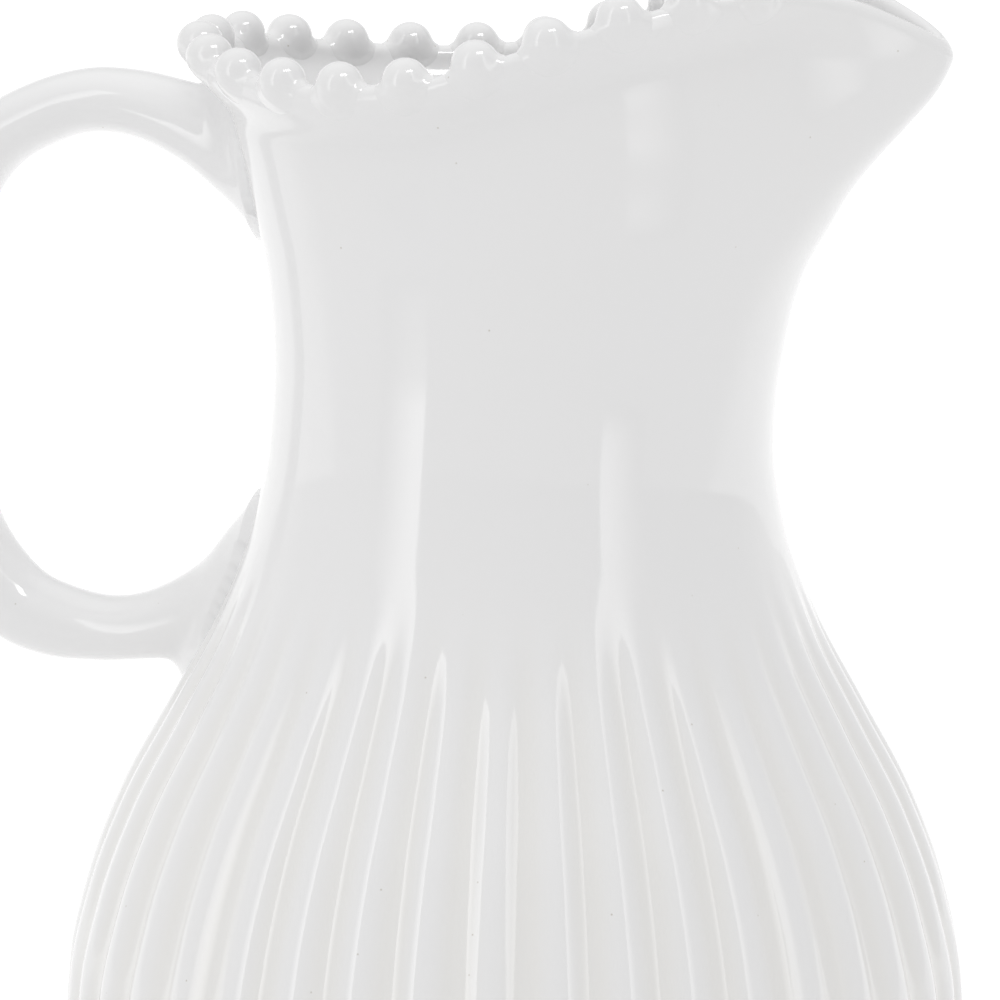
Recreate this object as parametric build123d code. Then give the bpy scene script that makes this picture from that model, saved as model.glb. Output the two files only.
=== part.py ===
from build123d import *
import os
from math import cos, dist, hypot, pi, radians, sin, tan

# Stoneware pitcher with a fluted belly, a pulled spout, a round pulled handle and a rim of clay beads.
# Frame: +Z up, +X towards the spout, -X towards the handle, origin at the centre of the foot,
# on the surface that the pitcher stands on. Sizes in millimetres.

os.makedirs("parts", exist_ok=True)

# ---- driving dimensions ----
FLUTE_COUNT = 42
FLUTE_TURN = -2.0           # degrees from the spout to the nearest ridge
RIDGE_SHARE = 0.59          # part of each flute's pitch that the convex ridge takes
TURNING_TOP = 242.0         # the body is formed a little too tall, then its rim is cut
RIM_LEVEL = 222.0           # rim height over the handle

BEAD_RADIUS = 3.9
BEAD_PITCH = 12.05
BEADS_EACH_SIDE = 11        # and one more bead over the handle

FOOT_RECESS_RADIUS = 44.0
FOOT_RECESS_DEPTH = 2.5
FLOOR_TOP = 8.0             # inside floor, above the resting surface

COLLAR_PROJECTION = 4.0     # flared band below the rim
COLLAR_FOOT = 10.5          # how far below the rim the band starts
COLLAR_FULL = 2.5           # and where it stands out fully
COLLAR_END = 66.0           # the band has gone at this distance towards the spout
COLLAR_FADE = 26.0          # length over which it goes
COLLAR_WALL = 0.2           # part of the band's projection that thickens the wall

# (height, radius) across the pitcher, measured over the flutes' ridges
SIDE_PROFILE = [
    (0, 50.5), (3, 53.0), (10, 62.0), (22, 71.5), (36, 76.8), (50, 78.0), (64, 77.2), (80, 73.6),
    (95, 67.8), (110, 59.6), (125, 51.4), (140, 45.6), (155, 42.8), (170, 42.0), (185, 42.3),
    (200, 43.3), (210, 44.2), (220, 45.2), (242, 46.0),
]
# (height, extra radius) towards the handle and towards the spout's tip
BACK_LEAN = [(170, 0.0), (178, 0.5), (186, 1.3), (192, 2.3), (201, 3.6), (210, 5.3), (222, 7.9), (242, 11.5)]
SPOUT_REACH = [
    (140, 0.0), (153, 0.3), (162, 1.2), (172, 2.8), (180, 4.3), (187, 6.6), (193, 9.6),
    (199, 12.5), (205, 16.6), (211, 21.3), (217, 25.4), (223, 27.6), (242, 30.5),
]
# (height, half angle in degrees) that the spout's channel spreads over
SPOUT_SPREAD = [(140, 60.0), (170, 46.0), (190, 32.0), (205, 20.0), (220, 13.0), (242, 11.5)]
# (height, thickness) of the wall
WALL = [(0, 6.0), (20, 5.2), (80, 4.6), (200, 4.0), (222, 3.7), (242, 3.5)]
# (height, depth) of the flutes, from ridge to valley
FLUTE_DEPTH = [
    (0, 0.0), (3, 0.0), (12, 0.7), (24, 1.3), (50, 1.46), (84, 1.42), (100, 1.28), (112, 1.08),
    (118, 0.88), (124, 0.54), (130, 0.19), (135, 0.05), (140, 0.0), (242, 0.0),
]
# (distance towards the spout, height above RIM_LEVEL) of the cut rim
RIM_LINE = [
    (-80, 0.5), (-55, 0.0), (-47, -1.6), (-39, -3.0), (-24, -3.8), (-7, -2.3), (5, 1.1), (27, 8.4),
    (38, 11.0), (47, 12.0), (56, 10.6), (64, 7.4), (70, 4.2), (74, 1.4), (90, -12.0),
]

BODY_LEVELS = [
    0, 3, 7, 13, 22, 34, 48, 62, 76, 88, 98, 107, 116, 125, 136, 148, 160, 172, 183, 192, 200, 206,
    210, 214, 218, 222, 226, 230, 236, 242,
]
CAVITY_LEVELS = [FLOOR_TOP, 11, 18, 30, 48, 66, 84, 98, 112, 126, 142, 160, 176, 190, 200, 208, 216, 224, 233, 243]
CAVITY_SIDES = 36

HANDLE_SIDES = 8
# handle sections from the upper root to the lower one: outer (x, z), inner (x, z), width
HANDLE_SECTIONS = [
    ((-38.0, 209.5), (-38.0, 183.0), 27.0), ((-47.0, 210.8), (-45.0, 189.0), 23.5),
    ((-54.0, 212.6), (-51.5, 194.4), 20.5), ((-61.0, 214.6), (-59.0, 200.2), 18.2),
    ((-69.0, 216.0), (-67.5, 204.2), 17.0), ((-77.5, 216.0), (-76.0, 205.0), 16.5),
    ((-87.0, 213.4), (-83.6, 202.6), 16.5), ((-96.5, 208.2), (-90.4, 198.3), 16.5),
    ((-104.6, 199.4), (-95.2, 191.3), 16.5), ((-110.2, 186.5), (-98.4, 181.5), 16.5),
    ((-112.2, 166.0), (-99.6, 165.5), 16.5), ((-110.2, 145.5), (-98.2, 150.0), 16.5),
    ((-104.4, 128.5), (-94.4, 136.8), 16.5), ((-95.6, 116.8), (-88.0, 128.2), 16.5),
    ((-86.0, 112.7), (-81.5, 124.9), 16.5), ((-75.5, 112.2), (-73.5, 123.6), 16.8),
    ((-66.0, 113.0), (-65.5, 125.5), 17.6), ((-58.0, 113.8), (-57.0, 130.8), 19.5),
    ((-51.0, 114.3), (-50.3, 138.6), 22.5), ((-42.0, 114.5), (-41.5, 147.0), 26.0),
]


def smooth(points, at):
    """Value at one place of the smooth curve through (place, value) points."""
    at = min(max(at, points[0][0]), points[-1][0])
    slopes = [(b[1] - a[1]) / (b[0] - a[0]) for a, b in zip(points, points[1:])]
    i = next(k for k in range(len(slopes)) if at <= points[k + 1][0])
    tangents = []
    for k in (i, i + 1):
        before = slopes[max(k - 1, 0)]
        after = slopes[min(k, len(slopes) - 1)]
        same_way = before * after > 0
        tangents.append(2 * before * after / (before + after) if same_way else 0.0)
    (x0, y0), (x1, y1) = points[i], points[i + 1]
    span = x1 - x0
    t = (at - x0) / span
    start = (2 * t**3 - 3 * t**2 + 1) * y0 + (t**3 - 2 * t**2 + t) * span * tangents[0]
    end = (3 * t**2 - 2 * t**3) * y1 + (t**3 - t**2) * span * tangents[1]
    return start + end


def fade(value):
    """Soft step from 0 to 1."""
    value = min(max(value, 0.0), 1.0)
    return value * value * (3 - 2 * value)


def rim_height(x):
    return RIM_LEVEL + smooth(RIM_LINE, x)


def plain_radius(angle, z):
    """Radius of the body without flutes or collar, angle 0 towards the spout."""
    spread = tan(radians(smooth(SPOUT_SPREAD, z)) / 2) ** 2
    toward = cos(angle / 2) ** 2 * spread
    spout = smooth(SPOUT_REACH, z) * toward / (toward + sin(angle / 2) ** 2)
    lean = smooth(BACK_LEAN, z) * min(cos(angle), 0.0) ** 2
    return smooth(SIDE_PROFILE, z) + spout + lean


def collar(angle, z):
    """How far the band below the rim stands out; it fades away towards the spout."""
    x = plain_radius(angle, z) * cos(angle)
    below_rim = rim_height(x) - z
    rise = fade((COLLAR_FOOT - below_rim) / (COLLAR_FOOT - COLLAR_FULL))
    return COLLAR_PROJECTION * rise * fade((COLLAR_END - x) / COLLAR_FADE)


def outer_point(angle, z, sink=0.0):
    radius = plain_radius(angle, z) + collar(angle, z) - sink
    return (radius * cos(angle), radius * sin(angle), z)


def inner_point(angle, z):
    """Point of the cavity: the outside without flutes, moved in by the wall."""
    step = 0.002
    x0, y0, _ = outer_point(angle - step, z)
    x1, y1, _ = outer_point(angle + step, z)
    length = hypot(x1 - x0, y1 - y0)
    x, y, _ = outer_point(angle, z)
    wall = smooth(WALL, z) + collar(angle, z) * COLLAR_WALL
    return (x - wall * (y1 - y0) / length, y + wall * (x1 - x0) / length, z)


def arc_ring(points):
    """Closed wire of arcs: the points are the arcs' ends and middles in turn."""
    arcs = []
    for k in range(0, len(points), 2):
        arcs.append(ThreePointArc(points[k], points[k + 1], points[(k + 2) % len(points)]))
    return Wire(arcs)


def fluted_ring(z):
    """Outline of the body at one height: a convex and a concave arc for each flute."""
    pitch = 2 * pi / FLUTE_COUNT
    depth = smooth(FLUTE_DEPTH, z)
    points = []
    for k in range(FLUTE_COUNT):
        ridge = radians(FLUTE_TURN) + k * pitch
        valley = ridge + pitch / 2
        half_ridge = pitch * RIDGE_SHARE / 2
        points.append(outer_point(ridge - half_ridge, z, depth * RIDGE_SHARE))
        points.append(outer_point(ridge, z))
        points.append(outer_point(ridge + half_ridge, z, depth * RIDGE_SHARE))
        points.append(outer_point(valley, z, depth))
    return arc_ring(points)


def cavity_ring(z):
    step = pi / CAVITY_SIDES
    return arc_ring([inner_point(k * step - step, z) for k in range(2 * CAVITY_SIDES)])


def above_rim():
    """Everything above the cut rim, as a block across the pitcher."""
    line = [(x, rim_height(x)) for x in range(-80, 91, 5)]
    edge = Spline([Vector(x, 0, z) for x, z in line])
    top = TURNING_TOP + 20
    walls = Polyline((line[-1][0], 0, line[-1][1]), (line[-1][0], 0, top), (line[0][0], 0, top),
                     (line[0][0], 0, line[0][1]))
    return extrude(Face(Wire([edge] + list(walls.edges()))), amount=90, dir=(0, 1, 0), both=True)


def make_body():
    """Returns the cast body and the same form without its cavity."""
    form = Solid.make_loft([fluted_ring(z) for z in BODY_LEVELS])
    form = form - above_rim()
    cavity = Solid.make_loft([cavity_ring(z) for z in CAVITY_LEVELS])
    recess = Cone(FOOT_RECESS_RADIUS, FOOT_RECESS_RADIUS - 2, FOOT_RECESS_DEPTH,
                  align=(Align.CENTER, Align.CENTER, Align.MIN))
    return form - cavity - recess, form


def handle_ring(outer, inner, width):
    """Oval section of the handle between its outer and its inner line."""
    middle = Vector((outer[0] + inner[0]) / 2, 0, (outer[1] + inner[1]) / 2)
    across = Vector(outer[0] - inner[0], 0, outer[1] - inner[1])
    points = []
    for k in range(2 * HANDLE_SIDES):
        turn = k * pi / HANDLE_SIDES
        points.append(middle + across * (cos(turn) / 2) + Vector(0, sin(turn) * width / 2, 0))
    return arc_ring(points)


def make_handle(form):
    """Loop with wider ends, trimmed to the outside of the body."""
    return Solid.make_loft([handle_ring(*section) for section in HANDLE_SECTIONS]) - form


def bead_centre(angle):
    """Middle of the rim's top at one angle around the pitcher."""
    z = RIM_LEVEL
    for _ in range(6):
        outer = outer_point(angle, z)
        inner = inner_point(angle, z)
        x = (outer[0] + inner[0]) / 2
        y = (outer[1] + inner[1]) / 2
        z = rim_height(x)
    return (x, y, z)


def bead_centres():
    """One bead over the handle, then equal steps along both sides of the rim."""
    small_turn = radians(0.05)
    angle = pi
    centres = [bead_centre(angle)]
    side = []
    for _ in range(BEADS_EACH_SIDE):
        last = bead_centre(angle)
        while dist(bead_centre(angle), last) < BEAD_PITCH:
            angle -= small_turn
        side.append(bead_centre(angle))
    for x, y, z in side:
        centres.append((x, y, z))
    for x, y, z in side:
        centres.append((x, -y, z))
    return centres


body, form = make_body()
export_step(body, "parts/pitcher_body.step")
export_step(make_handle(form), "parts/handle.step")
for number, centre in enumerate(bead_centres(), start=1):
    bead = Pos(*centre) * Sphere(BEAD_RADIUS) - body
    export_step(bead, f"parts/rim_bead_{number:02d}.step")
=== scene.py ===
"""White glazed pitcher: fluted belly, pulled spout, round handle and a rim of clay beads."""
from math import atan2, cos, exp, hypot, pi, radians, sin, sqrt, tan

import bpy
from mathutils import Matrix, Vector
from mathutils.bvhtree import BVHTree


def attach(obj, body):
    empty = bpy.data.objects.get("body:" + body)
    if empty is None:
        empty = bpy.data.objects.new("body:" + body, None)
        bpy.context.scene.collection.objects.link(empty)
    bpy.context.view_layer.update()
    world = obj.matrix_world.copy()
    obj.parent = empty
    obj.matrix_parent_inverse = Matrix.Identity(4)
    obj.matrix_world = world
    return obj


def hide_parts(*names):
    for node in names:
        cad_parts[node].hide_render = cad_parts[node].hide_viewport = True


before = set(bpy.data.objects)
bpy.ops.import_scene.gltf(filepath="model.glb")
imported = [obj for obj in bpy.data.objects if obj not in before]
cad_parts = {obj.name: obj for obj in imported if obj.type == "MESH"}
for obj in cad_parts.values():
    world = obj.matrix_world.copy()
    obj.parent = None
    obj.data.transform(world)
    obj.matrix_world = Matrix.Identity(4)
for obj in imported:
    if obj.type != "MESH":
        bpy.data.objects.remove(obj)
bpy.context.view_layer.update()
MM = 0.001

# ---------------------------------------------------------------- body, rim and spout
# One wall of white stoneware, cast in a mould that gives it its flutes, its flared collar
# and its spout. The whole wall is dipped in gloss glaze; only the foot ring is wiped bare.
FLUTES = 42
FLUTE_TURN = radians(-2.0)      # from the spout to the nearest ridge
RIDGE_SHARE = 0.59              # part of each flute that the convex ridge takes
RIM_LEVEL = 222.0
LIP_ROUNDING = 2.1              # the rim's top is rounded over this height
COLLAR_PROJECTION = 4.0
COLLAR_FOOT = 10.5              # the collar starts this far below the rim
COLLAR_FULL = 2.5               # and stands out fully here
COLLAR_END = 66.0               # distance towards the spout where it has gone
COLLAR_FADE = 26.0
COLLAR_WALL = 0.2               # part of its projection that thickens the wall
FLOOR_TOP = 8.0                 # inside floor
FLOOR_ROUNDING = 7.0            # radius between the inside floor and the wall
# Curves over the height: radius across the pitcher, what is added towards the handle and towards
# the spout, half the angle that the spout spreads over, the wall and the flutes' depth.
SIDE_PROFILE = [
    (0, 50.5), (3, 53.0), (10, 62.0), (22, 71.5), (36, 76.8), (50, 78.0), (64, 77.2), (80, 73.6),
    (95, 67.8), (110, 59.6), (125, 51.4), (140, 45.6), (155, 42.8), (170, 42.0), (185, 42.3),
    (200, 43.3), (210, 44.2), (220, 45.2), (242, 46.0),
]
BACK_LEAN = [
    (170, 0.0), (178, 0.5), (186, 1.3), (192, 2.3), (201, 3.6), (210, 5.3), (222, 7.9), (242, 11.5),
]
SPOUT_REACH = [
    (140, 0.0), (153, 0.3), (162, 1.2), (172, 2.8), (180, 4.3), (187, 6.6), (193, 9.6),
    (199, 12.5), (205, 16.6), (211, 21.3), (217, 25.4), (223, 27.6), (242, 30.5),
]
SPOUT_SPREAD = [(140, 60.0), (170, 46.0), (190, 32.0), (205, 20.0), (220, 13.0), (242, 11.5)]
WALL = [(0, 6.0), (20, 5.2), (80, 4.6), (200, 4.0), (222, 3.7), (242, 3.5)]
FLUTE_DEPTH = [
    (0, 0.0), (3, 0.0), (12, 0.7), (24, 1.3), (50, 1.46), (84, 1.42), (100, 1.28), (112, 1.08),
    (118, 0.88), (124, 0.54), (130, 0.19), (135, 0.05), (140, 0.0), (242, 0.0),
]
DEEPEST_FLUTE = 1.46
RIM_LINE = [    # (distance towards the spout, height above RIM_LEVEL)
    (-80, 0.5), (-55, 0.0), (-47, -1.6), (-39, -3.0), (-24, -3.8), (-7, -2.3), (5, 1.1), (27, 8.4),
    (38, 11.0), (47, 12.0), (56, 10.6), (64, 7.4), (70, 4.2), (74, 1.4), (90, -12.0),
]


def smooth(points, at):
    """Height of the smooth curve through the points at one place."""
    at = min(max(at, points[0][0]), points[-1][0])
    slopes = [(b[1] - a[1]) / (b[0] - a[0]) for a, b in zip(points, points[1:])]
    i = next(k for k in range(len(slopes)) if at <= points[k + 1][0])
    tangents = []
    for k in (i, i + 1):
        before = slopes[max(k - 1, 0)]
        after = slopes[min(k, len(slopes) - 1)]
        tangents.append(2 * before * after / (before + after) if before * after > 0 else 0.0)
    (x0, y0), (x1, y1) = points[i], points[i + 1]
    span = x1 - x0
    t = (at - x0) / span
    start = (2 * t**3 - 3 * t**2 + 1) * y0 + (t**3 - 2 * t**2 + t) * span * tangents[0]
    end = (3 * t**2 - 2 * t**3) * y1 + (t**3 - t**2) * span * tangents[1]
    return start + end


TABLE_STEP = 0.25               # the curves over height are read from tables this fine


def tabulate(points):
    count = int(points[-1][0] / TABLE_STEP) + 2
    return [smooth(points, k * TABLE_STEP) for k in range(count)]


def read(table, z):
    place = min(max(z / TABLE_STEP, 0.0), len(table) - 1.001)
    low = int(place)
    return table[low] + (table[low + 1] - table[low]) * (place - low)


side_radius = tabulate(SIDE_PROFILE)
back_lean = tabulate(BACK_LEAN)
spout_reach = tabulate(SPOUT_REACH)
spout_spread = tabulate(SPOUT_SPREAD)
wall_at = tabulate(WALL)
flute_depth = tabulate(FLUTE_DEPTH)
SPOUT_START = 140.0             # below this height the body is round


def fade(value):
    value = min(max(value, 0.0), 1.0)
    return value * value * (3 - 2 * value)


def collar(x, z):
    """How far the flared band below the rim stands out; it fades away towards the spout."""
    below_rim = RIM_LEVEL + smooth(RIM_LINE, x) - z
    if below_rim >= COLLAR_FOOT:
        return 0.0
    rise = fade((COLLAR_FOOT - below_rim) / (COLLAR_FOOT - COLLAR_FULL))
    return COLLAR_PROJECTION * rise * fade((COLLAR_END - x) / COLLAR_FADE)


def outer_radius(angle, z):
    """Outside of the wall without its flutes, angle 0 towards the spout."""
    radius = read(side_radius, z)
    if z > SPOUT_START:
        spread = tan(radians(read(spout_spread, z)) / 2) ** 2
        toward = cos(angle / 2) ** 2 * spread
        radius += read(spout_reach, z) * toward / (toward + sin(angle / 2) ** 2)
        radius += read(back_lean, z) * min(cos(angle), 0.0) ** 2
    x = radius * cos(angle)
    return radius + collar(x, z)


def outer_point(angle, z):
    radius = outer_radius(angle, z)
    return Vector((radius * cos(angle), radius * sin(angle), z))


def inner_point(angle, z):
    """Inside of the wall: the outside moved in by the wall's thickness."""
    step = 0.002
    along = outer_point(angle + step, z) - outer_point(angle - step, z)
    along.normalize()
    here = outer_point(angle, z)
    wall = read(wall_at, z) + COLLAR_WALL * collar(here.x, z)
    return here + Vector((-along.y, along.x, 0)) * wall


def rim_top(point_at, angle):
    """Height where one side of the wall meets the rim line."""
    z = RIM_LEVEL
    for _ in range(8):
        z = RIM_LEVEL + smooth(RIM_LINE, point_at(angle, z).x)
    return z


COLUMNS_PER_FLUTE = 10
SPOUT_EXTRA = 1.6               # the columns stand closer together round the spout's tip
SPOUT_REGION = radians(9)
FINE_STEPS = 7200               # steps round the body in which the columns' places are found


def column_angles():
    """Angles of the mesh's columns, evenly spread but denser round the spout."""
    weights = []
    for k in range(FINE_STEPS):
        angle = (k + 0.5) / FINE_STEPS * 2 * pi - pi
        weights.append(1 + SPOUT_EXTRA * exp(-(angle / SPOUT_REGION) ** 2))
    count = round(FLUTES * COLUMNS_PER_FLUTE * sum(weights) / FINE_STEPS)
    share = sum(weights) / count
    angles, passed = [], 0.0
    for k, weight in enumerate(weights):
        if passed + weight > len(angles) * share:
            angles.append(k / FINE_STEPS * 2 * pi - pi + FLUTE_TURN)
        passed += weight
    return angles[:count]


def spaced(start, end, count, ease=1.0):
    """Levels from start to end, without start, closer together at the end for ease > 1."""
    return [end + (start - end) * (1 - (k + 1) / count) ** ease for k in range(count)]


FOOT_PATH = [   # (radius, height) from the middle of the underside to the foot's edge
    (10, 2.5), (24, 2.5), (36, 2.5), (40.5, 2.5), (41.7, 2.3), (42.3, 1.8), (43.2, 0.8),
    (43.8, 0.25), (44.6, 0.0), (46.5, 0.0), (48.5, 0.0), (49.4, 0.06), (50.2, 0.3),
]
FOOT_MIDDLE = 2.5
BARE_ROWS = range(6, 12)        # the foot's rows that the glaze is wiped from
OUTSIDE_LEVELS = (
    [0.8, 1.6, 2.6, 4.0] + spaced(4.0, 30.0, 15) + spaced(30.0, 84.0, 28) + spaced(84.0, 142.0, 36)
    + spaced(142.0, 190.0, 18)
)
NECK_TOP = 190.0
UPPER_ROWS = 24                 # from there the rows follow the rim line
LIP_ROWS = 12
INSIDE_LEVELS = spaced(190.0, 100.0, 18) + spaced(100.0, FLOOR_TOP + FLOOR_ROUNDING, 14)
INSIDE_UPPER_ROWS = 16
FLOOR_ROWS = 5
FLOOR_RINGS = [0.8, 0.5, 0.2]


def body_column(angle):
    """Points of one column of the body, from the underside over the rim to the inside floor."""
    column = [Vector((r * cos(angle), r * sin(angle), z)) for r, z in FOOT_PATH]
    column += [outer_point(angle, z) for z in OUTSIDE_LEVELS]
    outer_top = rim_top(outer_point, angle) - LIP_ROUNDING
    inner_top = rim_top(inner_point, angle) - LIP_ROUNDING
    column += [outer_point(angle, z) for z in spaced(NECK_TOP, outer_top, UPPER_ROWS, 1.4)]
    outside, inside = column[-1], inner_point(angle, inner_top)
    for k in range(1, LIP_ROWS):
        turn = pi * k / LIP_ROWS
        lip = outside.lerp(inside, (1 - cos(turn)) / 2)
        lip.z += LIP_ROUNDING * sin(turn)
        column.append(lip)
    column.append(inside)
    down = spaced(NECK_TOP, inner_top, INSIDE_UPPER_ROWS, 1.4)[::-1]
    column += [inner_point(angle, z) for z in down[1:] + [NECK_TOP]]
    column += [inner_point(angle, z) for z in INSIDE_LEVELS]
    corner = inner_point(angle, FLOOR_TOP + FLOOR_ROUNDING)
    shrink = 1 - FLOOR_ROUNDING / hypot(corner.x, corner.y)
    centre = Vector((corner.x * shrink, corner.y * shrink, corner.z))
    for k in range(1, FLOOR_ROWS + 1):
        turn = pi / 2 * k / FLOOR_ROWS
        point = centre.lerp(corner, cos(turn))
        point.z = corner.z - FLOOR_ROUNDING * sin(turn)
        column.append(point)
    floor = column[-1]
    column += [Vector((floor.x * ring, floor.y * ring, FLOOR_TOP)) for ring in FLOOR_RINGS]
    return column


def finished_mesh(name, vertices, faces):
    mesh = bpy.data.meshes.new(name)
    mesh.from_pydata([tuple(v * MM) for v in vertices], [], faces)
    mesh.shade_smooth()
    return mesh


columns = [body_column(angle) for angle in column_angles()]
rows = len(columns[0])
vertices = [columns[j][i] for i in range(rows) for j in range(len(columns))]
faces = []
for i in range(rows - 1):
    for j in range(len(columns)):
        after = (j + 1) % len(columns)
        here, above = i * len(columns), (i + 1) * len(columns)
        faces.append((here + j, here + after, above + after, above + j))
underside, floor_middle = len(vertices), len(vertices) + 1
vertices += [Vector((0, 0, FOOT_MIDDLE)), Vector((0, 0, FLOOR_TOP))]
last_row = (rows - 1) * len(columns)
for j in range(len(columns)):
    after = (j + 1) % len(columns)
    faces.append((underside, after, j))
    faces.append((last_row + j, last_row + after, floor_middle))
body_mesh = finished_mesh("body_form", vertices, faces)

outside_rows = len(FOOT_PATH) + len(OUTSIDE_LEVELS)
depth_of = body_mesh.attributes.new("flute_depth", "FLOAT", "POINT")
depths = [0.0] * len(vertices)
for i in range(len(FOOT_PATH), outside_rows):
    depth = read(flute_depth, OUTSIDE_LEVELS[i - len(FOOT_PATH)]) * MM
    depths[i * len(columns):(i + 1) * len(columns)] = [depth] * len(columns)
depth_of.data.foreach_set("value", depths)
bare = body_mesh.attributes.new("bare", "BOOLEAN", "FACE")
bare_faces = [False] * len(faces)
for i in BARE_ROWS:
    bare_faces[i * len(columns):(i + 1) * len(columns)] = [True] * len(columns)
bare.data.foreach_set("value", bare_faces)


def add_node(tree, kind, settings=None, inputs=None):
    """Adds a node, sets its properties, and sets or links its inputs by name or number."""
    node = tree.nodes.new(kind)
    for name, value in (settings or {}).items():
        setattr(node, name, value)
    for socket, value in (inputs or {}).items():
        if isinstance(value, bpy.types.NodeSocket):
            tree.links.new(value, node.inputs[socket])
        else:
            node.inputs[socket].default_value = value
    return node


def colour(code):
    """Linear colour of an sRGB hex code."""
    parts = [int(code[k:k + 2], 16) / 255 for k in (0, 2, 4)]
    linear = [c / 12.92 if c <= 0.04045 else ((c + 0.055) / 1.055) ** 2.4 for c in parts]
    return (*linear, 1.0)


def new_material(name):
    material = bpy.data.materials.new(name)
    material.use_nodes = True
    material.node_tree.nodes.clear()
    return material, material.node_tree


# White gloss glaze: a glassy coat about 0.3 mm thick, fired until it flows. It is whitest where
# it lies thick, carries painted shade as a faint warm grey in the flute hollows, and keeps a faint
# orange-peel wave.
GLAZE_WHITE = colour("F6F6F7")
# warm grey used both for the slow random clouds and for the painted shade in the flute hollows
GLAZE_WARM_CLOUD_AND_SHADE = colour("F5F4F2")
GLAZE_SPECK = colour("D6D2CB")
CLOUD_SIZE = 38.0 * MM          # slow changes of the glaze's thickness
PEEL_SIZE = 2.2 * MM            # orange peel
SPECK_SPACING = 2.6 * MM        # iron specks, drawn a little larger than real so that they show
glaze, tree = new_material("white_gloss_glaze")
place = add_node(tree, "ShaderNodeTexCoord").outputs["Object"]
clouds = add_node(tree, "ShaderNodeTexNoise", {}, {"Vector": place, "Scale": 1 / CLOUD_SIZE, "Detail": 3.0})
# painted shade: the glaze is mixed towards the warm grey by how deep each point lies in its flute
valley = add_node(tree, "ShaderNodeAttribute", {"attribute_name": "valley"})
cloud_and_flute_shade = add_node(tree, "ShaderNodeMath", {"operation": "MULTIPLY_ADD", "use_clamp": True},
                  {0: clouds.outputs[0], 1: 0.5, 2: valley.outputs["Fac"]})
tone = add_node(tree, "ShaderNodeMix", {"data_type": "RGBA"},
                {0: cloud_and_flute_shade.outputs[0], 6: GLAZE_WHITE, 7: GLAZE_WARM_CLOUD_AND_SHADE})
specks = add_node(tree, "ShaderNodeTexVoronoi", {}, {"Vector": place, "Scale": 1 / SPECK_SPACING})
speck_size = add_node(tree, "ShaderNodeMapRange", {},
                      {0: specks.outputs["Distance"], 1: 0.03, 2: 0.09, 3: 1.0, 4: 0.0})
chosen = add_node(tree, "ShaderNodeSeparateColor", {}, {0: specks.outputs["Color"]})
rare = add_node(tree, "ShaderNodeMath", {"operation": "GREATER_THAN"}, {0: chosen.outputs[0], 1: 0.93})
speck = add_node(tree, "ShaderNodeMath", {"operation": "MULTIPLY"},
                 {0: speck_size.outputs[0], 1: rare.outputs[0]})
speckled = add_node(tree, "ShaderNodeMix", {"data_type": "RGBA"},
                    {0: speck.outputs[0], 6: tone.outputs[2], 7: GLAZE_SPECK})
peel = add_node(tree, "ShaderNodeTexNoise", {}, {"Vector": place, "Scale": 1 / PEEL_SIZE, "Detail": 1.0})
sheen = add_node(tree, "ShaderNodeMapRange", {}, {0: clouds.outputs[0], 1: 0.3, 2: 0.7, 3: 0.05, 4: 0.09})
wave = add_node(tree, "ShaderNodeBump", {}, {"Height": peel.outputs[0], "Strength": 0.04,
                                             "Distance": 0.1 * MM})
gloss = add_node(tree, "ShaderNodeBsdfPrincipled", {},
                 {"Base Color": speckled.outputs[2], "Roughness": sheen.outputs[0], "IOR": 1.6,
                  "Normal": wave.outputs[0]})
add_node(tree, "ShaderNodeOutputMaterial", {}, {0: gloss.outputs[0]})

# Bare stoneware of the wiped foot ring: matt, cream, with fine dark grog in the clay.
CLAY_CREAM = colour("D9CDB8")
CLAY_GROG = colour("A8957A")
GROG_SIZE = 0.9 * MM            # real grog is finer; drawn this coarse so that it shows
clay, tree = new_material("bare_stoneware")
place = add_node(tree, "ShaderNodeTexCoord").outputs["Object"]
grog = add_node(tree, "ShaderNodeTexNoise", {}, {"Vector": place, "Scale": 1 / GROG_SIZE, "Detail": 4.0})
grog_share = add_node(tree, "ShaderNodeMapRange", {}, {0: grog.outputs[0], 1: 0.5, 2: 0.72})
clay_tone = add_node(tree, "ShaderNodeMix", {"data_type": "RGBA"},
                     {0: grog_share.outputs[0], 6: CLAY_CREAM, 7: CLAY_GROG})
grain = add_node(tree, "ShaderNodeBump", {}, {"Height": grog.outputs[0], "Strength": 0.4,
                                              "Distance": 0.15 * MM})
matt = add_node(tree, "ShaderNodeBsdfPrincipled", {},
                {"Base Color": clay_tone.outputs[2], "Roughness": 0.85, "Normal": grain.outputs[0]})
add_node(tree, "ShaderNodeOutputMaterial", {}, {0: matt.outputs[0]})


def new_tree(name, sockets):
    """Geometry tree with named inputs; returns it, its input node and the inputs' identifiers."""
    tree = bpy.data.node_groups.new(name, "GeometryNodeTree")
    tree.interface.new_socket("Geometry", in_out="OUTPUT", socket_type="NodeSocketGeometry")
    tree.interface.new_socket("Geometry", in_out="INPUT", socket_type="NodeSocketGeometry")
    names = {}
    for label, kind in sockets:
        item = tree.interface.new_socket(label, in_out="INPUT", socket_type=kind)
        names[label] = item.identifier
    return tree, tree.nodes.new("NodeGroupInput"), names


def worked_out(name, mesh, tree, names, values):
    """Runs the tree on the mesh and returns the result as a plain object."""
    source = bpy.data.objects.new(name + "_source", mesh)
    bpy.context.scene.collection.objects.link(source)
    modifier = source.modifiers.new("shape", "NODES")
    modifier.node_group = tree
    for label, value in values.items():
        modifier[names[label]] = value
    graph = bpy.context.evaluated_depsgraph_get()
    result = bpy.data.meshes.new_from_object(source.evaluated_get(graph))
    result.name = name
    source.modifiers.clear()
    bpy.data.objects.remove(source)
    piece = bpy.data.objects.new(name, result)
    bpy.context.scene.collection.objects.link(piece)
    return piece


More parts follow.
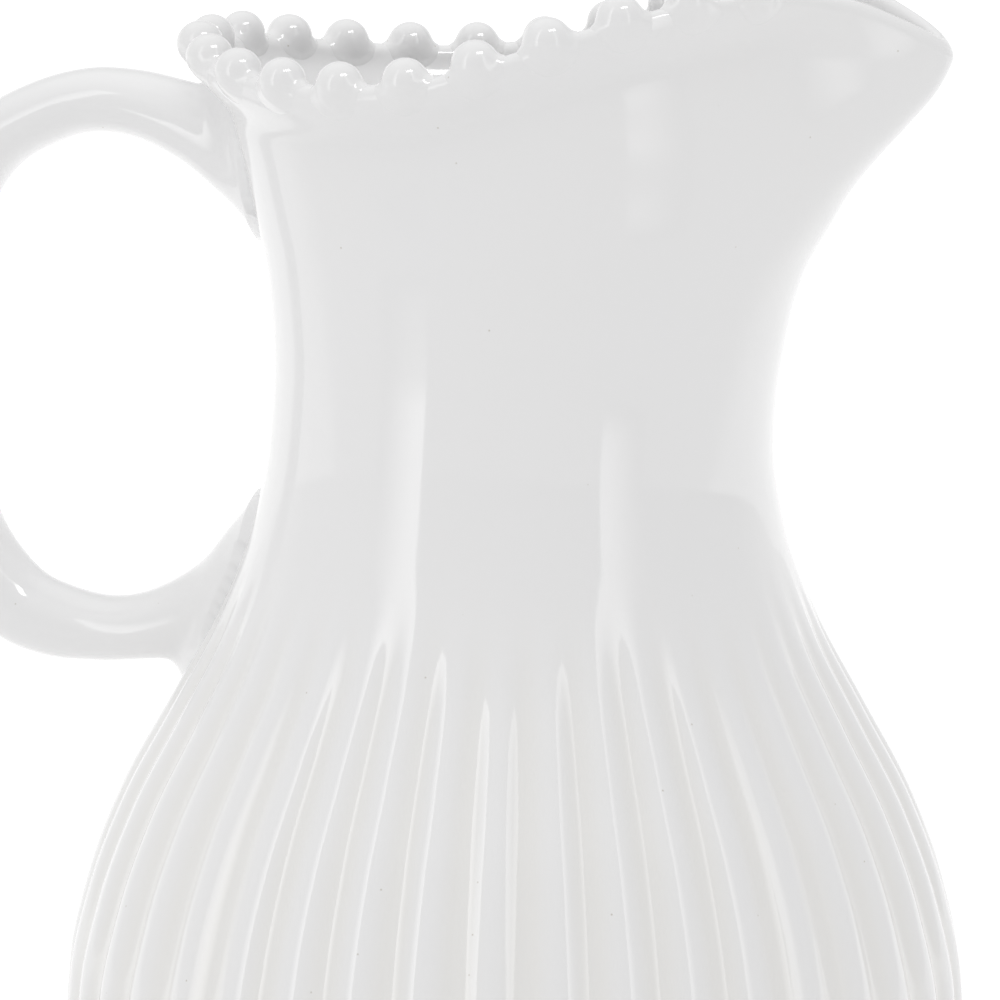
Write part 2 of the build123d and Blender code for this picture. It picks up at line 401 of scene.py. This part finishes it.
# The flutes: a broad convex ridge and a narrower round valley in turn, pressed into the form.
tree, given, names = new_tree("flutes", [
    ("Flutes", "NodeSocketInt"), ("Turn", "NodeSocketFloat"), ("Ridge share", "NodeSocketFloat"),
    ("Deepest", "NodeSocketFloat"),
])
MATH = "ShaderNodeMath"
position = add_node(tree, "GeometryNodeInputPosition").outputs[0]
across = add_node(tree, "ShaderNodeSeparateXYZ", {}, {0: position}).outputs
angle = add_node(tree, MATH, {"operation": "ARCTAN2"}, {0: across[1], 1: across[0]}).outputs[0]
turned = add_node(tree, MATH, {"operation": "SUBTRACT"}, {0: angle, 1: given.outputs["Turn"]}).outputs[0]
flute_count = given.outputs["Flutes"]
counted = add_node(tree, MATH, {"operation": "MULTIPLY"}, {0: turned, 1: flute_count}).outputs[0]
passed = add_node(tree, MATH, {"operation": "DIVIDE"}, {0: counted, 1: 2 * pi}).outputs[0]
wrapped = add_node(tree, MATH, {"operation": "WRAP"}, {0: passed, 1: 0.5, 2: -0.5}).outputs[0]
phase = add_node(tree, MATH, {"operation": "ABSOLUTE"}, {0: wrapped}).outputs[0]

# On the ridge the wall sinks with the square of the phase, in the valley it rises with it again.
share = given.outputs["Ridge share"]
half_ridge = add_node(tree, MATH, {"operation": "MULTIPLY"}, {0: share, 1: 0.5}).outputs[0]
on_ridge = add_node(tree, MATH, {"operation": "LESS_THAN"}, {0: phase, 1: half_ridge}).outputs[0]
from_ridge = add_node(tree, MATH, {"operation": "DIVIDE"}, {0: phase, 1: half_ridge}).outputs[0]
ridge_square = add_node(tree, MATH, {"operation": "POWER"}, {0: from_ridge, 1: 2.0}).outputs[0]
ridge = add_node(tree, MATH, {"operation": "MULTIPLY"}, {0: ridge_square, 1: share}).outputs[0]
half_valley = add_node(tree, MATH, {"operation": "SUBTRACT"}, {0: 0.5, 1: half_ridge}).outputs[0]
to_valley = add_node(tree, MATH, {"operation": "SUBTRACT"}, {0: 0.5, 1: phase}).outputs[0]
from_valley = add_node(tree, MATH, {"operation": "DIVIDE"}, {0: to_valley, 1: half_valley}).outputs[0]
valley_square = add_node(tree, MATH, {"operation": "POWER"}, {0: from_valley, 1: 2.0}).outputs[0]
valley_share = add_node(tree, MATH, {"operation": "SUBTRACT"}, {0: 1.0, 1: share}).outputs[0]
hollow = add_node(tree, MATH, {"operation": "MULTIPLY"}, {0: valley_square, 1: valley_share}).outputs[0]
valley = add_node(tree, MATH, {"operation": "SUBTRACT"}, {0: 1.0, 1: hollow}).outputs[0]
sunk = add_node(tree, "ShaderNodeMix", {"data_type": "FLOAT"},
                {0: on_ridge, 2: valley, 3: ridge}).outputs[0]

depth = add_node(tree, "GeometryNodeInputNamedAttribute", {"data_type": "FLOAT"},
                 {"Name": "flute_depth"}).outputs[0]
sink = add_node(tree, MATH, {"operation": "MULTIPLY"}, {0: sunk, 1: depth}).outputs[0]
inward = add_node(tree, MATH, {"operation": "MULTIPLY"}, {0: sink, 1: -1.0}).outputs[0]
flat = add_node(tree, "ShaderNodeVectorMath", {"operation": "MULTIPLY"}, {0: position, 1: (1.0, 1.0, 0.0)})
outward = add_node(tree, "ShaderNodeVectorMath", {"operation": "NORMALIZE"}, {0: flat.outputs[0]})
moved = add_node(tree, "ShaderNodeVectorMath", {"operation": "SCALE"},
                 {0: outward.outputs[0], "Scale": inward})
pressed = add_node(tree, "GeometryNodeSetPosition", {},
                   {"Geometry": given.outputs["Geometry"], "Offset": moved.outputs[0]})
# Painted shade for the glaze: how deep each point lies in its flute, 0 on the ridge and 1 at the valley's
# bottom.
painted_flute_shade = add_node(tree, MATH, {"operation": "DIVIDE"}, {0: sink, 1: given.outputs["Deepest"]}).outputs[0]
kept = add_node(tree, "GeometryNodeStoreNamedAttribute", {"data_type": "FLOAT", "domain": "POINT"},
                {"Geometry": pressed.outputs[0], "Name": "valley", "Value": painted_flute_shade})
glazed = add_node(tree, "GeometryNodeSetMaterial", {}, {"Geometry": kept.outputs[0], "Material": glaze})
wiped = add_node(tree, "GeometryNodeInputNamedAttribute", {"data_type": "BOOLEAN"}, {"Name": "bare"})
finished = add_node(tree, "GeometryNodeSetMaterial", {},
                    {"Geometry": glazed.outputs[0], "Selection": wiped.outputs[0], "Material": clay})
add_node(tree, "NodeGroupOutput", {}, {0: finished.outputs[0]})
body = worked_out("fluted_body", body_mesh, tree, names, {
    "Flutes": FLUTES, "Turn": FLUTE_TURN, "Ridge share": RIDGE_SHARE, "Deepest": DEEPEST_FLUTE * MM,
})
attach(body, "root")
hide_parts("pitcher_body")


# ---------------------------------------------------------------- beads on the rim
# Small balls of the same clay, rolled by hand and pressed onto the rim while both were leather
# hard, one over the handle and eleven along each side. The glaze runs into the joints and rounds them.
BEAD_RADIUS = 3.9
BEAD_PITCH = 12.05
BEADS_EACH_SIDE = 11
BEAD_FILLET = 1.8               # reach of the glaze's round joint
BEAD_VARIATION = 0.03           # part of its size by which a bead differs from the next
BEAD_SMOOTHING = 2              # passes that even out the joint's growth
BEAD_SEED = 7


def bead_centre(angle):
    z = RIM_LEVEL
    for _ in range(6):
        middle = (outer_point(angle, z) + inner_point(angle, z)) / 2
        z = RIM_LEVEL + smooth(RIM_LINE, middle.x)
    return Vector((middle.x, middle.y, z))


small_turn = radians(0.05)
angle_now = pi
centres = [bead_centre(angle_now)]
for _ in range(BEADS_EACH_SIDE):
    last = bead_centre(angle_now)
    while (bead_centre(angle_now) - last).length < BEAD_PITCH:
        angle_now -= small_turn
    centres.append(bead_centre(angle_now))
centres += [Vector((c.x, -c.y, c.z)) for c in centres[1:]]
bead_points = bpy.data.meshes.new("bead_points")
bead_points.from_pydata([tuple(c * MM) for c in centres], [], [])

tree, given, names = new_tree("beads", [
    ("Radius", "NodeSocketFloat"), ("Variation", "NodeSocketFloat"), ("Seed", "NodeSocketInt"),
])
ball = add_node(tree, "GeometryNodeMeshIcoSphere", {},
                {"Radius": given.outputs["Radius"], "Subdivisions": 5})
variation = given.outputs["Variation"]
smallest = add_node(tree, MATH, {"operation": "SUBTRACT"}, {0: 1.0, 1: variation}).outputs[0]
largest = add_node(tree, MATH, {"operation": "ADD"}, {0: 1.0, 1: variation}).outputs[0]
sizes = add_node(tree, "FunctionNodeRandomValue", {"data_type": "FLOAT_VECTOR"},
                 {0: smallest, 1: largest, "Seed": given.outputs["Seed"]})
placed = add_node(tree, "GeometryNodeInstanceOnPoints", {},
                  {"Points": given.outputs["Geometry"], "Instance": ball.outputs[0],
                   "Scale": sizes.outputs[0]})
real = add_node(tree, "GeometryNodeRealizeInstances", {}, {0: placed.outputs[0]})
rounded = add_node(tree, "GeometryNodeSetShadeSmooth", {}, {0: real.outputs[0]})
finished = add_node(tree, "GeometryNodeSetMaterial", {},
                    {"Geometry": rounded.outputs[0], "Material": glaze})
add_node(tree, "NodeGroupOutput", {}, {0: finished.outputs[0]})
beads = worked_out("rim_beads", bead_points, tree, names,
                   {"Radius": BEAD_RADIUS * MM, "Variation": BEAD_VARIATION, "Seed": BEAD_SEED})


def soft_min(a, b, reach):
    """Smaller of two gaps, rounded where they are within reach of each other."""
    blend = max(reach - abs(a - b), 0.0) / reach
    return min(a, b) - blend * blend * reach / 4


HALVINGS = 14                   # of the reach, to find where the joint's surface lies


def grow_joint(mesh, gap, reach, passes):
    """Moves the mesh out along its normals into a round joint with the body, in millimetres."""
    count = len(mesh.vertices)
    starts = [v.co / MM for v in mesh.vertices]
    normals = [Vector(n.vector) for n in mesh.vertex_normals]
    growth = [0.0] * count
    for k in range(count):
        if gap(starts[k]) > reach:
            continue
        low, high = 0.0, reach
        for _ in range(HALVINGS):
            middle = (low + high) / 2
            if soft_min(middle, gap(starts[k] + normals[k] * middle), reach) < 0:
                low = middle
            else:
                high = middle
        growth[k] = high
    for _ in range(passes):
        total, shares = growth[:], [1] * count
        for edge in mesh.edges:
            a, b = edge.vertices
            total[a] += growth[b]
            total[b] += growth[a]
            shares[a] += 1
            shares[b] += 1
        growth = [t / s for t, s in zip(total, shares)]
    for k in range(count):
        mesh.vertices[k].co = (starts[k] + normals[k] * growth[k]) * MM
    mesh.update()


RIM_ZONE = 200 * MM             # only the body above this height can touch a bead
rim_faces = [f.vertices[:] for f in body.data.polygons if f.center.z > RIM_ZONE]
rim_tree = BVHTree.FromPolygons([v.co for v in body.data.vertices], rim_faces)


def gap_to_rim(point):
    """Distance to the rim and to the beads next to the nearest one, rounded together."""
    nearest, normal, _, distance = rim_tree.find_nearest(point * MM)
    side = 1 if (point * MM - nearest).dot(normal) > 0 else -1
    to_beads = sorted((point - c).length_squared for c in centres)
    return soft_min(side * distance / MM, sqrt(to_beads[1]) - BEAD_RADIUS, BEAD_FILLET)


grow_joint(beads.data, gap_to_rim, BEAD_FILLET, BEAD_SMOOTHING)
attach(beads, "root")
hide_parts(*[f"rim_bead_{k:02d}" for k in range(1, len(centres) + 1)])


# ---------------------------------------------------------------- handle
# A round coil of clay pulled into a loop, its ends pressed wide onto the neck and the shoulder
# and smoothed over with a wet finger before the glaze.
HANDLE_SECTIONS = [     # outer (x, z), inner (x, z) and width, from the upper root to the lower one
    ((-38.0, 209.5), (-38.0, 183.0), 27.0), ((-47.0, 210.8), (-45.0, 189.0), 23.5),
    ((-54.0, 212.6), (-51.5, 194.4), 20.5), ((-61.0, 214.6), (-59.0, 200.2), 18.2),
    ((-69.0, 216.0), (-67.5, 204.2), 17.0), ((-77.5, 216.0), (-76.0, 205.0), 16.5),
    ((-87.0, 213.4), (-83.6, 202.6), 16.5), ((-96.5, 208.2), (-90.4, 198.3), 16.5),
    ((-104.6, 199.4), (-95.2, 191.3), 16.5), ((-110.2, 186.5), (-98.4, 181.5), 16.5),
    ((-112.2, 166.0), (-99.6, 165.5), 16.5), ((-110.2, 145.5), (-98.2, 150.0), 16.5),
    ((-104.4, 128.5), (-94.4, 136.8), 16.5), ((-95.6, 116.8), (-88.0, 128.2), 16.5),
    ((-86.0, 112.7), (-81.5, 124.9), 16.5), ((-75.5, 112.2), (-73.5, 123.6), 16.8),
    ((-66.0, 113.0), (-65.5, 125.5), 17.6), ((-58.0, 113.8), (-57.0, 130.8), 19.5),
    ((-51.0, 114.3), (-50.3, 138.6), 22.5), ((-42.0, 114.5), (-41.5, 147.0), 26.0),
]
HANDLE_STEPS = 10               # rings between two sections
HANDLE_SIDES = 56               # points round a ring
HANDLE_FILLET = 6.0             # reach of the wetted joint with the body
HANDLE_SMOOTHING = 4
ROOT_DEPTH = 2.2                # how deep the pressed ends reach into the wall
ROOT_MARGIN = 0.3               # what lies inside the wall stays this far under its surface


def through(p0, p1, p2, p3, t):
    """Point of the smooth curve from p1 to p2."""
    return (p1 * 2 + (p2 - p0) * t + (p0 * 2 - p1 * 5 + p2 * 4 - p3) * t**2
            + (p1 * 3 - p0 - p2 * 3 + p3) * t**3) / 2


stations = [(Vector((o[0], 0, o[1])), Vector((i[0], 0, i[1])), w) for o, i, w in HANDLE_SECTIONS]
handle_vertices, ring_count = [], 0
for k in range(len(stations) - 1):
    around = [stations[min(max(n, 0), len(stations) - 1)] for n in (k - 1, k, k + 1, k + 2)]
    steps = HANDLE_STEPS + (k == len(stations) - 2)
    for step in range(steps):
        t = step / HANDLE_STEPS
        outer, inner, width = [through(*[s[n] for s in around], t) for n in range(3)]
        middle, half = (outer + inner) / 2, (outer - inner) / 2
        for side in range(HANDLE_SIDES):
            turn = 2 * pi * side / HANDLE_SIDES
            handle_vertices.append(middle + half * cos(turn) + Vector((0, sin(turn) * width / 2, 0)))
        ring_count += 1
handle_faces = []
for i in range(ring_count - 1):
    for j in range(HANDLE_SIDES):
        after = (j + 1) % HANDLE_SIDES
        here, above = i * HANDLE_SIDES, (i + 1) * HANDLE_SIDES
        handle_faces.append((here + j, here + after, above + after, above + j))
handle_faces.append(tuple(range(HANDLE_SIDES - 1, -1, -1)))
handle_faces.append(tuple((ring_count - 1) * HANDLE_SIDES + j for j in range(HANDLE_SIDES)))
handle = bpy.data.objects.new("loop_handle", finished_mesh("loop_handle", handle_vertices, handle_faces))
bpy.context.scene.collection.objects.link(handle)


def gap_to_neck(point):
    """Distance of a point from the outside of the body."""
    angle = atan2(point.y, point.x)
    radius = outer_radius(angle, point.z)
    rise = outer_radius(angle, point.z + 0.5) - outer_radius(angle, point.z - 0.5)
    turn = (outer_radius(angle + 0.01, point.z) - outer_radius(angle - 0.01, point.z)) / 0.02 / radius
    return (hypot(point.x, point.y) - radius) / sqrt(1 + rise**2 + turn**2)


grow_joint(handle.data, gap_to_neck, HANDLE_FILLET, HANDLE_SMOOTHING)
for start, vertex in zip(handle_vertices, handle.data.vertices):
    x, y, z = vertex.co / MM
    wall_radius = outer_radius(atan2(y, x), z)
    reach = hypot(x, y)
    if gap_to_neck(start) < 0:
        reach = min(reach, wall_radius - read(flute_depth, z) - ROOT_MARGIN)
    reach = max(reach, wall_radius - ROOT_DEPTH)
    vertex.co *= reach / hypot(x, y)
    vertex.co.z = z * MM
handle.data.update()
handle.data.materials.append(glaze)
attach(handle, "root")
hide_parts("handle")


# ---------------------------------------------------------------- floor, light and camera
# White paper floor in a light tent: even light, brighter overhead, at the horizon behind and on
# the left. Two tall panels and a small soft box make the reflections; a top cloth adds a little.
VIEW_AZIMUTH = radians(14.16)
toward_camera = Vector((sin(VIEW_AZIMUTH), -cos(VIEW_AZIMUTH), 0))
camera_right = Vector((cos(VIEW_AZIMUTH), sin(VIEW_AZIMUTH), 0))

FLOOR_RADIUS = 6.0
FLOOR_SIDES = 64
FLOOR_DROP = 0.0002             # keeps the paper off the foot ring
FLOOR_GREY = colour("C4C4C4")
FLOOR_CHANGE = 0.25             # distance behind the pitcher over which the paper gets brighter
FLOOR_GLOW = 0.36               # the paper is lit a little from below
FLOOR_GLOW_BEHIND = 0.70        # and more behind the pitcher
floor_mesh = bpy.data.meshes.new("floor")
edge_turns = [2 * pi * k / FLOOR_SIDES for k in range(FLOOR_SIDES)]
rim = [(FLOOR_RADIUS * cos(turn), FLOOR_RADIUS * sin(turn), -FLOOR_DROP) for turn in edge_turns]
floor_mesh.from_pydata(rim, [], [tuple(range(FLOOR_SIDES))])
floor = bpy.data.objects.new("floor", floor_mesh)
bpy.context.scene.collection.objects.link(floor)
paper, tree = new_material("white_paper")
place = add_node(tree, "ShaderNodeTexCoord").outputs["Object"]
behind = add_node(tree, "ShaderNodeVectorMath", {"operation": "DOT_PRODUCT"}, {0: place, 1: -toward_camera})
lit = add_node(tree, "ShaderNodeMapRange", {"interpolation_type": "SMOOTHSTEP"},
               {0: behind.outputs["Value"], 1: 0.0, 2: FLOOR_CHANGE, 3: FLOOR_GLOW, 4: FLOOR_GLOW_BEHIND})
sheet = add_node(tree, "ShaderNodeBsdfPrincipled", {},
                 {"Base Color": FLOOR_GREY, "Roughness": 0.9, "Specular IOR Level": 0.1,
                  "Emission Color": (1.0, 1.0, 1.0, 1.0), "Emission Strength": lit.outputs[0]})
add_node(tree, "ShaderNodeOutputMaterial", {}, {0: sheet.outputs[0]})
floor_mesh.materials.append(paper)

TENT_LIGHT = 0.69
TENT_SLOPE = 0.08               # the left side is brighter than the right
TENT_TOP = 0.38                 # added overhead
TENT_GLOW = 0.38                # added behind at the horizon, where the tent meets the lit paper
world = bpy.data.worlds.new("light_tent")
bpy.context.scene.world = world
world.use_nodes = True
tree = world.node_tree
tree.nodes.clear()
direction = add_node(tree, "ShaderNodeTexCoord").outputs["Generated"]
sideways = add_node(tree, "ShaderNodeVectorMath", {"operation": "DOT_PRODUCT"},
                    {0: direction, 1: camera_right})
backwards = add_node(tree, "ShaderNodeVectorMath", {"operation": "DOT_PRODUCT"},
                     {0: direction, 1: -toward_camera})
behind = add_node(tree, "ShaderNodeMapRange", {"interpolation_type": "SMOOTHSTEP"},
                  {0: backwards.outputs["Value"], 1: 0.2, 2: 0.8, 3: 0.0, 4: TENT_GLOW})
height = add_node(tree, "ShaderNodeSeparateXYZ", {}, {0: direction})
low = add_node(tree, "ShaderNodeMapRange", {"interpolation_type": "SMOOTHSTEP"},
               {0: height.outputs[2], 1: 0.0, 2: 0.45, 3: 1.0, 4: 0.0})
overhead = add_node(tree, "ShaderNodeMapRange", {"interpolation_type": "SMOOTHSTEP"},
                    {0: height.outputs[2], 1: 0.4, 2: 0.95, 3: TENT_LIGHT, 4: TENT_LIGHT + TENT_TOP})
lit = add_node(tree, MATH, {"operation": "MULTIPLY_ADD"},
               {0: behind.outputs[0], 1: low.outputs[0], 2: overhead.outputs[0]})
light_level = add_node(tree, MATH, {"operation": "MULTIPLY_ADD"},
                       {0: sideways.outputs["Value"], 1: -TENT_SLOPE, 2: lit.outputs[0]}).outputs[0]
sky = add_node(tree, "ShaderNodeBackground", {}, {"Color": (1.0, 1.0, 1.0, 1.0), "Strength": light_level})
add_node(tree, "ShaderNodeOutputWorld", {}, {0: sky.outputs[0]})


PANEL_FOOT = 0.06               # part of the panel's height over which its light comes in


def panel(name, start, end, distance, height, edge_light):
    """Tall panel between two azimuths to the camera's right; it is brightest along its first edge."""
    corners = []
    for azimuth in (start, end):
        turn = radians(azimuth)
        foot = (toward_camera * cos(turn) + camera_right * sin(turn)) * distance
        corners += [foot, foot + Vector((0, 0, height))]
    mesh = bpy.data.meshes.new(name)
    mesh.from_pydata(corners, [], [(0, 1, 3, 2)])
    across = mesh.uv_layers.new(name="across")
    for loop, place in zip(across.data, ((0.0, 0.0), (0.0, 1.0), (1.0, 1.0), (1.0, 0.0))):
        loop.uv = place
    material, tree = new_material(name + "_cloth")
    place = add_node(tree, "ShaderNodeUVMap", {"uv_map": "across"})
    parts = add_node(tree, "ShaderNodeSeparateXYZ", {}, {0: place.outputs[0]})
    faded = add_node(tree, "ShaderNodeMapRange", {"interpolation_type": "SMOOTHSTEP"},
                     {0: parts.outputs[0], 1: 0.0, 2: 1.0, 3: edge_light, 4: 0.0})
    lifted = add_node(tree, "ShaderNodeMapRange", {"interpolation_type": "SMOOTHSTEP"},
                      {0: parts.outputs[1], 1: 0.0, 2: PANEL_FOOT, 3: 0.0, 4: 1.0})
    level = add_node(tree, "ShaderNodeMath", {"operation": "MULTIPLY_ADD"},
                     {0: faded.outputs[0], 1: lifted.outputs[0], 2: TENT_LIGHT})
    cloth = add_node(tree, "ShaderNodeEmission", {}, {"Strength": level.outputs[0]})
    add_node(tree, "ShaderNodeOutputMaterial", {}, {0: cloth.outputs[0]})
    mesh.materials.append(material)
    piece = bpy.data.objects.new(name, mesh)
    piece.visible_camera = False
    piece.visible_diffuse = False
    bpy.context.scene.collection.objects.link(piece)


panel("left_panel", -44.0, -66.0, 0.8, 1.3, 2.1)
panel("right_panel", 34.0, 54.0, 0.8, 1.3, 1.5)

LIGHT_DISTANCE = 1.3


def area_light(name, width, depth, radiance, toward):
    """Rectangular cloth at LIGHT_DISTANCE in one direction, facing the pitcher."""
    light = bpy.data.lights.new(name, "AREA")
    light.shape = "RECTANGLE"
    light.size, light.size_y = width, depth
    light.energy = radiance * pi * width * depth
    lamp = bpy.data.objects.new(name, light)
    lamp.location = toward * LIGHT_DISTANCE
    lamp.rotation_euler = toward.to_track_quat("Z", "Y").to_euler()
    lamp.visible_camera = False
    bpy.context.scene.collection.objects.link(lamp)
    return lamp


TOP_RISE = radians(70)          # the top cloth leans behind the pitcher
area_light("top_cloth", 1.4, 1.0, 0.1, Vector((0, 0, sin(TOP_RISE))) - toward_camera * cos(TOP_RISE))
BOX_TURN = radians(31)          # the soft box stands to the camera's right
BOX_RISE = radians(62)
box_side = toward_camera * cos(BOX_TURN) + camera_right * sin(BOX_TURN)
soft_box = area_light("soft_box", 0.55, 0.20, 9.0, box_side * cos(BOX_RISE) + Vector((0, 0, sin(BOX_RISE))))
soft_box.visible_diffuse = False

camera_data = bpy.data.cameras.new("camera")
camera_data.lens = 171.3        # millimetres, on a sensor 36 mm wide
camera_data.sensor_width = 36.0
camera = bpy.data.objects.new("camera", camera_data)
bpy.context.scene.collection.objects.link(camera)
CAMERA_TILT = radians(10.1)
CAMERA_ROLL = radians(0.53)
CAMERA_HEIGHT = 0.287
CAMERA_DISTANCE = 0.8
CAMERA_OFFSET = -0.00338
back = toward_camera * cos(CAMERA_TILT) + Vector((0, 0, sin(CAMERA_TILT)))
up = back.cross(camera_right)
right = camera_right * cos(CAMERA_ROLL) + up * sin(CAMERA_ROLL)
up = back.cross(right)
place = toward_camera * CAMERA_DISTANCE + camera_right * CAMERA_OFFSET + Vector((0, 0, CAMERA_HEIGHT))
camera.matrix_world = Matrix((
    (right.x, up.x, back.x, place.x), (right.y, up.y, back.y, place.y),
    (right.z, up.z, back.z, place.z), (0, 0, 0, 1),
))
bpy.context.scene.camera = camera
bpy.context.scene.view_settings.view_transform = "Standard"
